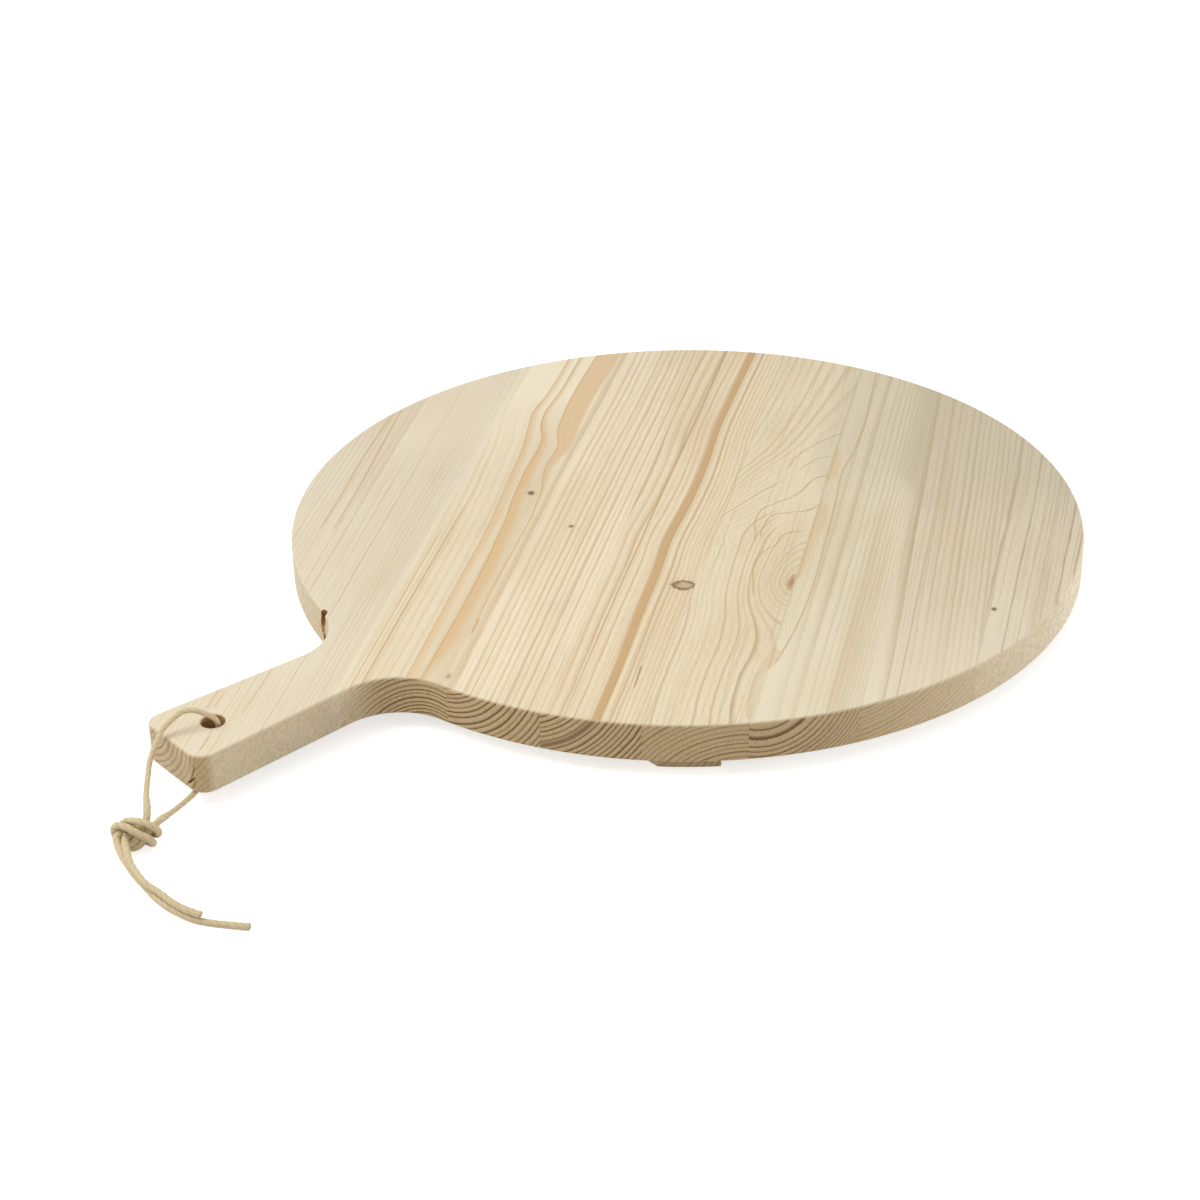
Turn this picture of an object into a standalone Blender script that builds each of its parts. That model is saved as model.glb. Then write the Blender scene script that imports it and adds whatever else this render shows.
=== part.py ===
"""Round wooden board for serving polenta, with a handle and a knotted hanging cord.

The board is glued up from staves that run slantwise to the handle. Two battens are screwed
under it and keep it off the table. A cord goes through the hole in the handle, and its two
ends are tied together in one overhand knot.

Metres, +Z up. The handle points along -Y, and the origin is on the table, under the middle of
the board's length.
"""

import math

import bmesh
import bpy
from mathutils import Matrix, Vector

MM = 0.001

# Outline of the board
DISC_RADIUS = 225 * MM
HANDLE_LENGTH = 124 * MM          # from the rim to the handle's end
HANDLE_NECK_WIDTH = 41 * MM       # where the handle's sides would meet the rim's line
HANDLE_END_WIDTH = 51.5 * MM
HANDLE_CORNER_RADIUS = 9 * MM
NECK_FILLET_RADIUS = 35 * MM
HOLE_DIAMETER = 12 * MM
HOLE_FROM_END = 26 * MM

# Section of the board
BOARD_THICKNESS = 22 * MM
ARRIS_RADIUS = 1.8 * MM
ARRIS_STEPS = 1                   # extra rings in each rounded edge

# Staves
STAVE_COUNT = 9
BLANK_ALLOWANCE = 21 * MM         # width of the glued blank beyond the disc's diameter
BLANK_SHIFT = -5 * MM             # middle of the blank, across the grain from the disc's centre
GRAIN_ANGLE = math.radians(36)    # between the staves and the handle's axis
JOINT_GAP = 0.3 * MM              # glue line, and the gap under the board

# Battens
BATTEN_WIDTH = 24 * MM
BATTEN_HEIGHT = 9 * MM
BATTEN_FROM_RIM = 80 * MM         # rim to the batten's middle, along the handle's axis
BATTEN_INSET = 9.5 * MM           # how far the rounded ends stay inside the rim
BATTEN_EDGE = 1 * MM

# Screws
SCREW_DIAMETER = 3.5 * MM
SCREW_HEAD_DIAMETER = 7 * MM
SCREW_HEAD_RIM = 0.5 * MM
SCREW_SINK = 0.6 * MM             # head below the batten's face
SCREW_BITE = 14 * MM              # length inside the board
SCREW_POINT = 4 * MM
SCREW_CLEARANCE = 0.3 * MM
RECESS_WIDTH = 0.9 * MM
RECESS_LENGTH = 3.6 * MM
RECESS_DEPTH = 1.6 * MM

# Cord
CORD_DIAMETER = 2.8 * MM
CORD_FREE_STEP = 5 * MM           # spacing of the tube's points
CORD_KNOT_STEP = 2.2 * MM         # closer spacing inside the knot
CORD_ROUNDNESS = 2                # extra edges in each quarter of the tube
CORD_OWN_REACH = 2.4              # stretch, in diameters, that counts as one place on a strand
ROUTE_POINTS_IN_HOLE = 4          # first points of each arm, where the two strands meet
KNOT_REACH = 16 * MM
KNOT_CENTRE = Vector((30, -328, 11)) * MM
KNOT_TURN = math.radians(49)      # about the vertical
KNOT_TILT = math.radians(60)      # from lying flat

# Route of the cord in millimetres: the arms and tails in the board's frame, and the knot about
# its own centre, with x to the right, y up its leaning face and z out of that face
UPPER_ARM = [
    (3, -260, 20.5), (3, -260, 26), (3.5, -260.5, 31.5), (4, -263, 36), (2.5, -266.5, 39),
    (-0.5, -270, 41), (-3, -274, 41.5), (-4, -278, 40.5), (-4.5, -282, 38.5), (-4.5, -286.5, 36),
    (-3, -291, 33), (0, -296, 30), (4.5, -301.5, 27), (9.5, -306, 24), (13.5, -309.5, 21.5),
    (18, -313, 19.5),
]
UPPER_KNOT = [
    (4.5, 12.5, -8), (5, 9, -5), (5, 6, -3.5), (3.5, 2, -3), (1.5, -1, -2.5),
    (-1, -4.5, -2), (-5.5, -5.5, -3), (-9, -3.5, -3.5), (-10.5, 1, -2), (-8.5, 3.5, 1),
    (-4, 3, 3), (0, 1, 4), (3.5, -1, 3.5), (7, -3, 1.5), (8, -5.5, -3),
    (4.5, -5, -6.5), (0.5, -2.5, -6.5), (-3, -2, -3), (-4.5, -2.5, 1), (-4, -4.5, 5),
]
SHORT_TAIL = [
    (40, -339, 10.5), (49, -342.5, 10), (57, -344, 9), (66, -345, 8.5), (74.5, -343.5, 7.5),
    (84, -342.5, 6.5), (92, -340.5, 5.8), (99.5, -337, 5),
]
LOWER_ARM = [
    (3, -260, 20.1), (3, -260, 15), (3.5, -261.5, 10), (5.5, -266, 7.5), (8.5, -272, 7),
    (12.5, -279.5, 7), (17, -286.5, 7.5), (21, -293.5, 8.5), (26.5, -303.5, 10.5),
]
LOWER_KNOT = [
    (13, 6.5, -8), (11.5, 5.5, -5), (10, 4, -3), (7, 1, -2), (5, -2, -2.5),
    (3, -5, -3), (-1, -7.5, -4.5), (-5.5, -7.5, -6), (-9, -5, -7), (-9.5, -1.5, -7),
    (-8, 2.5, -6), (-5, 5, -3.5), (-1.5, 5.5, 0), (2, 5.5, 2.5), (6, 4.5, 3),
    (9.5, 2.5, 2), (11, 0, -1.5), (9.5, -1.5, -5.5), (6, -0.5, -8), (1.5, 1, -8),
    (-3, 1.5, -5.5), (-6.5, 1, -2), (-8, -1, 1), (-8.5, -3, 3),
]
LONG_TAIL = [
    (35.5, -340, 8.5), (45, -342.5, 7.5), (53, -343.5, 6), (63, -344.5, 5.5),
    (73.5, -345, 4.5), (82.5, -344.5, 4), (89, -342.5, 3), (95.5, -340, 2.2),
    (100.5, -337, 1.7), (106, -333, 1.5), (110.5, -329.5, 1.5), (115, -326, 1.5),
    (118.5, -323, 1.5),
]

# Smoothness of round shapes
RIM_STEPS = 64                    # along half of the disc's rim
CORNER_STEPS = 8
HOLE_STEPS = 28
TURNED_STEPS = 16
BATTEN_END_STEPS = 160
CURVE_STEPS = 12                  # samples between two points of a cord's route
SHARP_ANGLE = math.radians(40)    # edges sharper than this stay crisp
WELD = 0.01 * MM

# Places that follow from the sizes above
DISC_CENTRE = Vector((0, HANDLE_LENGTH / 2, 0))
HANDLE_END = -(DISC_RADIUS + HANDLE_LENGTH)
HOLE_Y = HANDLE_END + HOLE_FROM_END
BOARD_BOTTOM = BATTEN_HEIGHT + JOINT_GAP
BOARD_MIDDLE = BOARD_BOTTOM + BOARD_THICKNESS / 2
STAVE_WIDTH = (2 * DISC_RADIUS + BLANK_ALLOWANCE) / STAVE_COUNT
BATTEN_Y = DISC_RADIUS - BATTEN_FROM_RIM
SCREW_LENGTH = BOARD_BOTTOM + SCREW_BITE - SCREW_SINK

# Each batten's side of the disc, and the staves that its screws go into
BATTENS = {
    "batten_handle_side": (-1, (2, 3, 4, 5)),
    "batten_far_side": (1, (5, 6, 7, 8)),
}

PALE_WOOD = (0.80, 0.67, 0.47)
WARM_WOOD = (0.74, 0.60, 0.40)
GREY_WOOD = (0.70, 0.61, 0.43)
BATTEN_WOOD = (0.58, 0.43, 0.27)
ZINC = (0.55, 0.55, 0.52)
TWINE = (0.60, 0.49, 0.31)
STAVE_ROUGHNESS = 0.62
BATTEN_ROUGHNESS = 0.70
ZINC_ROUGHNESS = 0.35
TWINE_ROUGHNESS = 0.85


def material(name, colour, roughness, metallic=0.0):
    """A Principled material of one colour."""
    made = bpy.data.materials.new(name)
    made.use_nodes = True
    shader = made.node_tree.nodes["Principled BSDF"]
    shader.inputs["Base Color"].default_value = (*colour, 1.0)
    shader.inputs["Roughness"].default_value = roughness
    shader.inputs["Metallic"].default_value = metallic
    return made


def move_to(obj, collection):
    """Keep an object in one collection only."""
    for other in list(obj.users_collection):
        other.objects.unlink(obj)
    collection.objects.link(obj)


def cutter(obj, name):
    """Make an object a cutter: seen as wires and never rendered."""
    obj.name = name
    obj.display_type = "WIRE"
    obj.hide_render = True
    move_to(obj, cutters)
    return obj


def boolean(obj, operation, other):
    """Cut an object with another one, or keep what the two share."""
    change = obj.modifiers.new(other.name, "BOOLEAN")
    change.operation = operation
    change.solver = "EXACT"
    change.object = other


def box(size, location, turn=0.0):
    """A box primitive about its middle, turned about the vertical."""
    bpy.ops.mesh.primitive_cube_add(size=1, location=location, rotation=(0, 0, turn))
    made = bpy.context.object
    made.scale = size
    bpy.ops.object.transform_apply(location=False, rotation=False, scale=True)
    return made


def as_mesh(obj, name):
    """The object's evaluated shape as a new welded mesh; the object itself goes."""
    graph = bpy.context.evaluated_depsgraph_get()
    mesh = bpy.data.meshes.new_from_object(obj.evaluated_get(graph))
    mesh.name = name
    work = bmesh.new()
    work.from_mesh(mesh)
    bmesh.ops.remove_doubles(work, verts=work.verts, dist=WELD)
    work.to_mesh(mesh)
    work.free()
    bpy.data.objects.remove(obj)
    return mesh


def arc(centre, radius, start, end, steps):
    """Points on an arc between two angles."""
    points = []
    for step in range(steps + 1):
        angle = start + (end - start) * step / steps
        points.append(centre + radius * Vector((math.cos(angle), math.sin(angle))))
    return points


def board_outline():
    """Outline of the board about the disc's centre, counter-clockwise from the handle's end.

    One half is made of the handle's corner, its straight side, the fillet in the neck and
    half of the rim. The other half mirrors it.
    """
    neck = Vector((HANDLE_NECK_WIDTH / 2, -DISC_RADIUS))
    end = Vector((HANDLE_END_WIDTH / 2, HANDLE_END))
    along = (end - neck).normalized()
    outward = Vector((-along.y, along.x))
    side_angle = math.atan2(outward.y, outward.x)

    inner = neck - HANDLE_CORNER_RADIUS * outward
    reach = (HANDLE_END + HANDLE_CORNER_RADIUS - inner.y) / along.y
    corner = arc(inner + reach * along, HANDLE_CORNER_RADIUS, -math.pi / 2, side_angle, CORNER_STEPS)

    outer = neck + NECK_FILLET_RADIUS * outward
    behind = outer.dot(along)
    tangent_distance = DISC_RADIUS + NECK_FILLET_RADIUS
    reach = math.sqrt(behind ** 2 - outer.length_squared + tangent_distance ** 2) - behind
    centre = outer + reach * along
    to_disc = math.atan2(-centre.y, -centre.x)
    fillet = arc(centre, NECK_FILLET_RADIUS, side_angle + math.pi, to_disc, CORNER_STEPS)

    rim_start = math.atan2(centre.y, centre.x)
    rim = arc(Vector((0, 0)), DISC_RADIUS, rim_start, math.pi / 2, RIM_STEPS)

    half = corner + fillet[:-1] + rim
    other_half = [Vector((-point.x, point.y)) for point in reversed(half[:-1])]
    return half + other_half


def board_mesh():
    """The whole board as one plate with rounded edges, before it is parted into staves."""
    hole = arc(Vector((0, HOLE_Y)), HOLE_DIAMETER / 2, 0, -2 * math.pi, HOLE_STEPS)
    curve = bpy.data.curves.new("board_outline", "CURVE")
    curve.dimensions = "2D"
    curve.fill_mode = "BOTH"
    curve.extrude = BOARD_THICKNESS / 2 - ARRIS_RADIUS
    curve.bevel_depth = ARRIS_RADIUS
    curve.bevel_resolution = ARRIS_STEPS
    curve.offset = -ARRIS_RADIUS
    for points in (board_outline(), hole[:-1]):
        spline = curve.splines.new("POLY")
        spline.points.add(len(points) - 1)
        for target, point in zip(spline.points, points):
            target.co = (point.x, point.y, 0, 1)
        spline.use_cyclic_u = True
    plate = bpy.data.objects.new("board_outline", curve)
    bpy.context.scene.collection.objects.link(plate)
    mesh = as_mesh(plate, "board")
    mesh.shade_smooth()
    mesh.set_sharp_from_angle(angle=SHARP_ANGLE)
    return mesh


def stave_spans():
    """Each stave's name with its limits across and along the grain, from the disc's centre.

    The first stave is met twice, at the rim and at the tip of the handle, so it gives two
    pieces, parted halfway between the two places where its inner edge crosses the outline
    and the handle's axis.
    """
    far = 2 * (DISC_RADIUS + HANDLE_LENGTH)
    first = BLANK_SHIFT - STAVE_WIDTH * (STAVE_COUNT - 2) / 2
    edges = [-far] + [first + STAVE_WIDTH * i for i in range(STAVE_COUNT - 1)] + [far]
    at_rim = -math.sqrt(DISC_RADIUS ** 2 - first ** 2)
    at_axis = first / math.tan(GRAIN_ANGLE)
    parting = (at_rim + at_axis) / 2
    spans = [
        ("stave_1_rim", edges[0], edges[1], parting, far),
        ("stave_1_tip", edges[0], edges[1], -far, parting),
    ]
    for number in range(2, STAVE_COUNT + 1):
        spans.append((f"stave_{number}", edges[number - 1], edges[number], -far, far))
    return spans


def build_staves():
    """Part the board along the grain into staves with a thin glue line between them."""
    whole = board_mesh()
    turn = Matrix.Rotation(GRAIN_ANGLE, 4, "Z")
    tones = (PALE_WOOD, WARM_WOOD, GREY_WOOD)
    staves = {}
    for index, (name, left, right, low, high) in enumerate(stave_spans()):
        stave = bpy.data.objects.new(name, whole.copy())
        stave.location = DISC_CENTRE + Vector((0, 0, BOARD_MIDDLE))
        parts.objects.link(stave)
        stave.data.materials.append(material(f"{name}_wood", tones[index % len(tones)], STAVE_ROUGHNESS))
        middle = turn @ Vector(((left + right) / 2, (low + high) / 2, 0))
        size = (right - left - JOINT_GAP, high - low, 2 * BOARD_THICKNESS)
        block = box(size, stave.location + middle, GRAIN_ANGLE)
        boolean(stave, "INTERSECT", cutter(block, f"{name}_block"))
        staves[name] = stave
    return staves


def build_battens():
    """Two bars across the handle's direction, whose ends follow the round of the disc."""
    bpy.ops.mesh.primitive_cylinder_add(
        vertices=BATTEN_END_STEPS,
        radius=DISC_RADIUS - BATTEN_INSET,
        depth=4 * BATTEN_HEIGHT,
        location=DISC_CENTRE,
    )
    round_limit = cutter(bpy.context.object, "batten_end_round")
    battens = {}
    for name, (side, _) in BATTENS.items():
        place = DISC_CENTRE + Vector((0, side * BATTEN_Y, BATTEN_HEIGHT / 2))
        batten = box((2 * DISC_RADIUS, BATTEN_WIDTH, BATTEN_HEIGHT), place)
        batten.name = name
        move_to(batten, parts)
        batten.data.materials.append(material(f"{name}_wood", BATTEN_WOOD, BATTEN_ROUGHNESS))
        edges = batten.modifiers.new("edges", "BEVEL")
        edges.width = BATTEN_EDGE
        edges.segments = 1
        boolean(batten, "INTERSECT", round_limit)
        battens[name] = batten
    return battens


def screw_profile(grow):
    """Half section of a countersunk wood screw, from its point down to its head.

    A positive grow gives the hole that the screw sits in, which opens below the batten.
    """
    steepness = SCREW_POINT / (SCREW_DIAMETER / 2)
    tip = SCREW_LENGTH + grow * math.hypot(1, steepness)
    shank = SCREW_DIAMETER / 2 + grow
    head = SCREW_HEAD_DIAMETER / 2 + grow
    cone = head - shank
    mouth = -(SCREW_SINK + BATTEN_HEIGHT) if grow else 0.0
    return [
        (0.0, tip),
        (shank, tip - shank * steepness),
        (shank, SCREW_HEAD_RIM + cone),
        (head, SCREW_HEAD_RIM),
        (head, mouth),
        (0.0, mouth),
    ]


def turned(name, profile):
    """A solid turned about Z from a half section."""
    mesh = bpy.data.meshes.new(name)
    points = [(radius, 0, height) for radius, height in profile]
    mesh.from_pydata(points, [(i, i + 1) for i in range(len(points) - 1)], [])
    obj = bpy.data.objects.new(name, mesh)
    bpy.context.scene.collection.objects.link(obj)
    turn = obj.modifiers.new("turn", "SCREW")
    turn.angle = 2 * math.pi
    turn.steps = TURNED_STEPS
    turn.render_steps = TURNED_STEPS
    turn.use_merge_vertices = True
    turn.merge_threshold = WELD
    return obj


def screw_mesh():
    """One screw with a cross recess in its head."""
    screw = turned("screw", screw_profile(0.0))
    slots = []
    for turn in (0, math.pi / 2):
        slots.append(box((RECESS_LENGTH, RECESS_WIDTH, 2 * RECESS_DEPTH), (0, 0, 0), turn))
        boolean(screw, "DIFFERENCE", slots[-1])
    mesh = as_mesh(screw, "screw")
    for slot in slots:
        bpy.data.objects.remove(slot)
    mesh.shade_smooth()
    mesh.set_sharp_from_angle(angle=SHARP_ANGLE)
    mesh.materials.append(material("screw_zinc", ZINC, ZINC_ROUGHNESS, metallic=1.0))
    return mesh


def build_screws(staves, battens):
    """A screw for each stave that a batten crosses, in a hole through both."""
    shape = screw_mesh()
    hole_shape = as_mesh(turned("screw_hole", screw_profile(SCREW_CLEARANCE)), "screw_hole")
    middles = {name: (left + right) / 2 for name, left, right, _, _ in stave_spans()}
    for batten, (side, numbers) in BATTENS.items():
        y = side * BATTEN_Y
        for number in numbers:
            stave = f"stave_{number}"
            x = (middles[stave] - y * math.sin(GRAIN_ANGLE)) / math.cos(GRAIN_ANGLE)
            place = DISC_CENTRE + Vector((x, y, SCREW_SINK))
            screw = bpy.data.objects.new(f"{batten}_screw_{number}", shape)
            screw.location = place
            parts.objects.link(screw)
            hole = bpy.data.objects.new("hole", hole_shape)
            hole.location = place
            cutter(hole, f"{screw.name}_hole")
            boolean(battens[batten], "DIFFERENCE", hole)
            boolean(staves[stave], "DIFFERENCE", hole)


def smooth_curve(route):
    """Dense points on a smooth curve through every point of a route."""
    first = 2 * route[0] - route[1]
    last = 2 * route[-1] - route[-2]
    line = [first, *route, last]
    points = []
    for a, b, c, d in zip(line, line[1:], line[2:], line[3:]):
        for step in range(CURVE_STEPS):
            t = step / CURVE_STEPS
            bend = (2 * a - 5 * b + 4 * c - d) * t ** 2 + (3 * b - a - 3 * c + d) * t ** 3
            points.append((2 * b + (c - a) * t + bend) / 2)
    points.append(route[-1].copy())
    return points


def cord_route(arm, knot, tail):
    """A strand's route in metres, with its knot stretch turned into place."""
    frame = Matrix.Translation(KNOT_CENTRE) @ Matrix.Rotation(KNOT_TURN, 4, "Z")
    frame = frame @ Matrix.Rotation(KNOT_TILT, 4, "X")
    route = [Vector(point) * MM for point in arm]
    route += [frame @ (Vector(point) * MM) for point in knot]
    route += [Vector(point) * MM for point in tail]
    return smooth_curve(route)


def tube_points(dense):
    """Points for a tube, spaced wide on the free runs and close inside the knot."""
    kept = [dense[0]]
    for point in dense[1:-1]:
        in_knot = (point - KNOT_CENTRE).length < KNOT_REACH
        step = CORD_KNOT_STEP if in_knot else CORD_FREE_STEP
        ahead = (dense[-1] - point).length
        if (point - kept[-1]).length >= step and ahead > CORD_KNOT_STEP:
            kept.append(point)
    kept.append(dense[-1])
    return kept


def least_gap(one, other):
    """Smallest clear distance between two strands, or of a strand to its own later turns."""
    least = math.inf
    for i, point in enumerate(one):
        walked = 0.0
        start = i + 1 if one is other else 0
        for j in range(start, len(other)):
            if one is other:
                walked += (other[j] - other[j - 1]).length
                if walked < CORD_OWN_REACH * CORD_DIAMETER:
                    continue
            least = min(least, (point - other[j]).length)
    return least - CORD_DIAMETER


def cord_strand(name, points, axis):
    """A cord's strand as a tube that turns with the swivel in the hole."""
    curve = bpy.data.curves.new(name, "CURVE")
    curve.dimensions = "3D"
    curve.bevel_depth = CORD_DIAMETER / 2
    curve.bevel_resolution = CORD_ROUNDNESS
    curve.use_fill_caps = True
    spline = curve.splines.new("POLY")
    spline.points.add(len(points) - 1)
    for target, point in zip(spline.points, points):
        target.co = (*(point - axis.location), 1)
    strand = bpy.data.objects.new(name, curve)
    strand.parent = axis
    parts.objects.link(strand)
    curve.materials.append(material(f"{name}_twine", TWINE, TWINE_ROUGHNESS))


def build_cord():
    """The two strands that leave the hole above and below, and share the knot."""
    swivel = bpy.data.objects.new("cord_swivel", None)
    swivel.location = DISC_CENTRE + Vector((0, HOLE_Y, BOARD_MIDDLE))
    parts.objects.link(swivel)
    upper = cord_route(UPPER_ARM, UPPER_KNOT, SHORT_TAIL)
    lower = cord_route(LOWER_ARM, LOWER_KNOT, LONG_TAIL)
    cord_strand("cord_upper_strand", tube_points(upper), swivel)
    cord_strand("cord_lower_strand", tube_points(lower), swivel)
    past_hole = ROUTE_POINTS_IN_HOLE * CURVE_STEPS
    gaps = {
        "upper strand to itself": least_gap(upper, upper),
        "lower strand to itself": least_gap(lower, lower),
        "between the strands past the hole": least_gap(upper[past_hole:], lower[past_hole:]),
    }
    for pair, gap in gaps.items():
        print(f"least gap, {pair}: {gap / MM:.2f} mm")


for leftover in list(bpy.data.objects):
    bpy.data.objects.remove(leftover)
parts = bpy.data.collections.new("polenta_board")
cutters = bpy.data.collections.new("cutters")
bpy.context.scene.collection.children.link(parts)
bpy.context.scene.collection.children.link(cutters)

all_staves = build_staves()
all_battens = build_battens()
build_screws(all_staves, all_battens)
build_cord()
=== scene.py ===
"""The looks of a round polenta board: glued spruce staves, battens, screws and a knotted cord.

Metres, +Z up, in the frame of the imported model. The handle points along -Y.
"""

import math

import bmesh
import bpy
import numpy as np
from mathutils import Matrix, Quaternion, Vector


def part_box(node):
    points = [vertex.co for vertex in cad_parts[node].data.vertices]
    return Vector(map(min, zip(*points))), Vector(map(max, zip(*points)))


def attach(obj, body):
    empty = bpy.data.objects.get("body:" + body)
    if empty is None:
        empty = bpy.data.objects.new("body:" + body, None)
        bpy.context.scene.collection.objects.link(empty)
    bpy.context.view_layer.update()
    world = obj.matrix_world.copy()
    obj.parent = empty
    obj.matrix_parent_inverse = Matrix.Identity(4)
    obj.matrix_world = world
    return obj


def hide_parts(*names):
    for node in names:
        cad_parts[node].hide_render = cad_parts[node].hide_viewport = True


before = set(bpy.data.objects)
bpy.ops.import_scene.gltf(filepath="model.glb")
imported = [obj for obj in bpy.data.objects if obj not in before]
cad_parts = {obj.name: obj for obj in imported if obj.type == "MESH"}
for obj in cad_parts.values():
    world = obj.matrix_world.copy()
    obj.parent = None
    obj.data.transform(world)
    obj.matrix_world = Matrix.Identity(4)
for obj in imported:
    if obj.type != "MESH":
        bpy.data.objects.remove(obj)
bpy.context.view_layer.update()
MM = 0.001

# The camera stands to the right of the handle. Its place, its lens and its slight roll were worked
# out from the disc's outline and the straight sides of the handle.
CAMERA_PLACE = Vector((926.9, -799.9, 706.2)) * MM
CAMERA_TURN = math.radians(49.35)  # round the vertical, from straight behind the handle
CAMERA_HEIGHT = math.radians(30.06)  # above the horizon
CAMERA_ROLL = math.radians(-1.28)
CAMERA_LENS = 75

towards_camera = Vector((
    math.sin(CAMERA_TURN) * math.cos(CAMERA_HEIGHT),
    -math.cos(CAMERA_TURN) * math.cos(CAMERA_HEIGHT),
    math.sin(CAMERA_HEIGHT),
))


def deselect():
    """Let nothing be selected, so that the next operator acts on what it adds."""
    bpy.ops.object.select_all(action="DESELECT")


deselect()
bpy.ops.object.camera_add(location=CAMERA_PLACE)
camera = bpy.context.object
camera.rotation_mode = "QUATERNION"
camera.rotation_quaternion = towards_camera.to_track_quat("Z", "Y") @ Quaternion((0, 0, 1), CAMERA_ROLL)
camera.data.lens = CAMERA_LENS
bpy.context.scene.camera = camera
bpy.context.scene.view_settings.view_transform = "Standard"


# The hanging cord is one piece of smooth three-ply twine, passed through the hole in the handle and
# tied with its two ends together in one overhand knot. It is laid out here as two strands that
# meet in the middle of the hole: the upper one ends in the short tail, the lower in the long one.
KNOT_CENTRE = Vector((30, -328, 11)) * MM
KNOT_TURN = math.radians(49)  # about the vertical
KNOT_TILT = math.radians(60)  # from lying flat
KNOT_REACH = 15 * MM
KNOT_EASE = 7.5 * MM  # over which a strand thins again beyond the knot
ARM_THICKNESS = 2.9 * MM
KNOT_THICKNESS = 3.8 * MM  # loosened and pressed against itself
TAIL_THICKNESS = 3.15 * MM
END_THICKNESS = 3.7 * MM  # where the plies open at the cut
END_REACH = 45 * MM
UPPER_LENGTH = 247 * MM
LOWER_LENGTH = 266 * MM
PLY_COUNT = 3
PLY_SIDES = 6  # columns of faces on each ply
PLY_GROOVE = 0.07  # depth of the groove between two plies, in radii
PLY_ROUNDNESS = 0.7  # below 1, the groove is sharper than the ply's back
LAY_LENGTH = 13 * MM  # one full turn of a ply
LINE_STEPS = 24  # of the smooth line between two points of the route
TWINE_STEP = 0.5 * MM  # between two rings of points
FRAY = (0.5 * MM, -0.2 * MM, 0.1 * MM)  # how far each ply's cut end stands out

# The route in millimetres: arms and tails in the board's frame, the knot about its own centre, with
# x to the right, y up its leaning face and z out of that face
UPPER_ARM = [
    (3, -260, 20.5), (3, -260, 26), (3.5, -260.5, 31.5), (4, -263, 36), (2.5, -266.5, 39),
    (-0.5, -270, 41), (-3, -274, 41.5), (-4, -278, 40.5), (-4.5, -282, 38.5), (-4.5, -286.5, 36),
    (-3, -291, 33), (0, -296, 30), (4.5, -301.5, 27), (9.5, -306, 24), (13.5, -309.5, 21.5),
    (18, -313, 19.5),
]
UPPER_KNOT = [
    (4.5, 12.5, -8), (5, 9, -5), (5, 6, -3.5), (3.5, 2, -3), (1.5, -1, -2.5),
    (-1, -4.5, -2), (-5.5, -5.5, -3), (-9, -3.5, -3.5), (-10.5, 1, -2), (-8.5, 3.5, 1),
    (-4, 3, 3), (0, 1, 4), (3.5, -1, 3.5), (7, -3, 1.5), (8, -5.5, -3),
    (4.5, -5, -6.5), (0.5, -2.5, -6.5), (-3, -2, -3), (-4.5, -2.5, 1), (-4, -4.5, 5),
]
SHORT_TAIL = [
    (40, -339, 10.5), (49, -342.5, 10), (57, -344, 9), (66, -345, 8.5), (74.5, -343.5, 7.5),
    (84, -342.5, 6.5), (92, -340.5, 5.8), (99.5, -337, 5),
]
LOWER_ARM = [
    (3, -260, 20.1), (3, -260, 15), (3.5, -261.5, 10), (5.5, -266, 7.5), (8.5, -272, 7),
    (12.5, -279.5, 7), (17, -286.5, 7.5), (21, -293.5, 8.5), (26.5, -303.5, 10.5),
]
LOWER_KNOT = [
    (13, 6.5, -8), (11.5, 5.5, -5), (10, 4, -3), (7, 1, -2), (5, -2, -2.5),
    (3, -5, -3), (-1, -7.5, -4.5), (-5.5, -7.5, -6), (-9, -5, -7), (-9.5, -1.5, -7),
    (-8, 2.5, -6), (-5, 5, -3.5), (-1.5, 5.5, 0), (2, 5.5, 2.5), (6, 4.5, 3),
    (9.5, 2.5, 2), (11, 0, -1.5), (9.5, -1.5, -5.5), (6, -0.5, -8), (1.5, 1, -8),
    (-3, 1.5, -5.5), (-6.5, 1, -2), (-8, -1, 1), (-8.5, -3, 3),
]
LONG_TAIL = [
    (35.5, -340, 8.5), (45, -342.5, 7.5), (53, -343.5, 6), (63, -344.5, 5.5),
    (73.5, -345, 4.5), (82.5, -344.5, 4), (89, -342.5, 3), (95.5, -340, 2.2),
    (100.5, -337, 1.7), (106, -333, 1.5), (110.5, -329.5, 1.5), (115, -326, 1.5),
    (118.5, -323, 1.5),
]


def strand_line(arm, knot, tail):
    """Evenly spaced points on a smooth line through a strand's route, and how far along each one is."""
    knot_frame = Matrix.Translation(KNOT_CENTRE) @ Matrix.Rotation(KNOT_TURN, 4, "Z")
    knot_frame = knot_frame @ Matrix.Rotation(KNOT_TILT, 4, "X")
    route = [Vector(point) * MM for point in arm]
    route += [knot_frame @ (Vector(point) * MM) for point in knot]
    route += [Vector(point) * MM for point in tail]
    extended = [2 * route[0] - route[1], *route, 2 * route[-1] - route[-2]]
    dense = []
    for a, b, c, d in zip(extended, extended[1:], extended[2:], extended[3:]):
        for t in np.linspace(0, 1, LINE_STEPS, endpoint=False):
            bend = (2 * a - 5 * b + 4 * c - d) * t ** 2 + (3 * b - a - 3 * c + d) * t ** 3
            dense.append((2 * b + (c - a) * t + bend) / 2)
    dense = np.array([*dense, route[-1]])
    walked = np.concatenate([[0], np.cumsum(np.linalg.norm(np.diff(dense, axis=0), axis=1))])
    stations = np.linspace(0, walked[-1], round(walked[-1] / TWINE_STEP) + 1)
    line = np.column_stack([np.interp(stations, walked, dense[:, axis]) for axis in range(3)])
    return line, stations


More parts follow.
